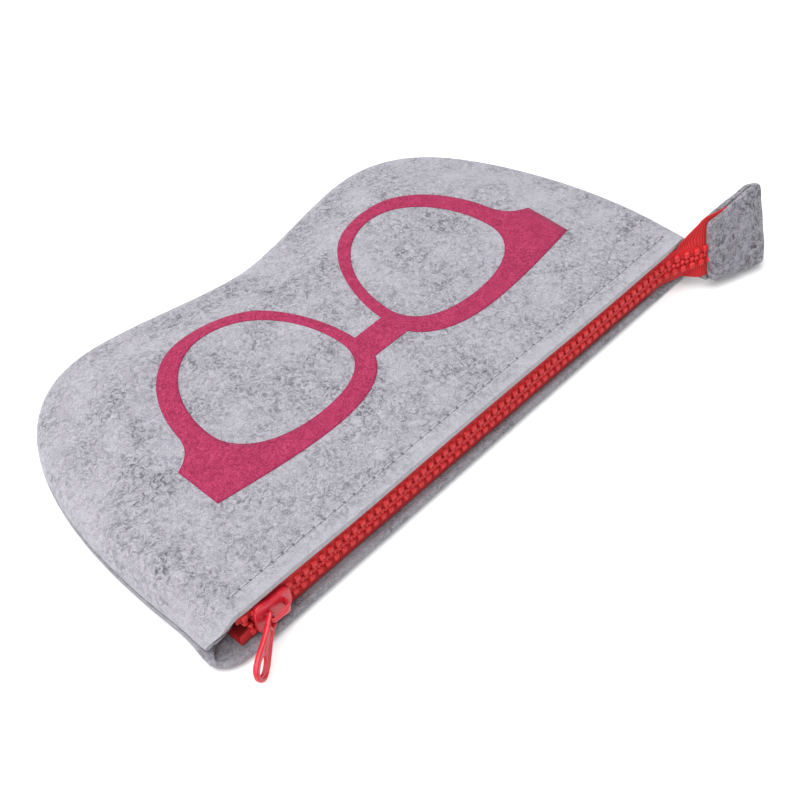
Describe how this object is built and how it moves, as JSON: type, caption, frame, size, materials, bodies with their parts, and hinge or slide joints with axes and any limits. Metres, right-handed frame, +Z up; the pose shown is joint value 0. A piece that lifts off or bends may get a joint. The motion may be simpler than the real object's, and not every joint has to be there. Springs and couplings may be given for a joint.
{
  "type": "eyeglasses case",
  "caption": "Soft felt eyeglasses pouch with a scalloped back edge, a pressed-on glasses motif and a moulded zip with slider, puller and felt tail tab.",
  "frame": {"origin": "on the table, under the middle of the pouch: halfway along the mouth side and halfway from the mouth to the lobes", "axes": "+X along the mouth from the slider's end to the tail tab, +Y from the mouth towards the two lobes, +Z up from the back panel to the front panel; table at z = 0"},
  "size_m": [0.2242, 0.1195, 0.0236],
  "materials": {
    "felt": "marled wool felt",
    "flock": "flocked transfer film",
    "tape": "ribbed woven tape",
    "teeth": "satin",
    "slider": "gloss",
    "thread": "sewing thread"
  },
  "bodies": {
    "pouch": {"front_panel": "felt", "back_panel": "felt", "glasses_motif": "flock", "zip_tape_front": "tape", "zip_tape_back": "tape", "zip_teeth_front": "teeth", "zip_teeth_back": "teeth", "tail_tab": "felt", "mouth_stitch_front": "thread", "mouth_stitch_back": "thread", "perimeter_seam": "thread"},
    "slider": {"slider_body": "slider", "slider_crown": "slider"},
    "puller": {"puller": "slider"}
  },
  "joints": [
    {"name": "slider_slide", "type": "slide", "parent": "pouch", "child": "slider", "axis": [1, 0, 0], "range_m": [0, 0.155], "deforming": ["zip_teeth_front", "zip_teeth_back", "zip_tape_front", "zip_tape_back"]},
    {"name": "puller_swing", "type": "hinge", "parent": "slider", "child": "puller", "pos_m": [-0.08165, -0.05292, 0.00819], "axis": [-0.3907, 0.1281, 0.9115], "range_deg": [0, 60]}
  ]
}
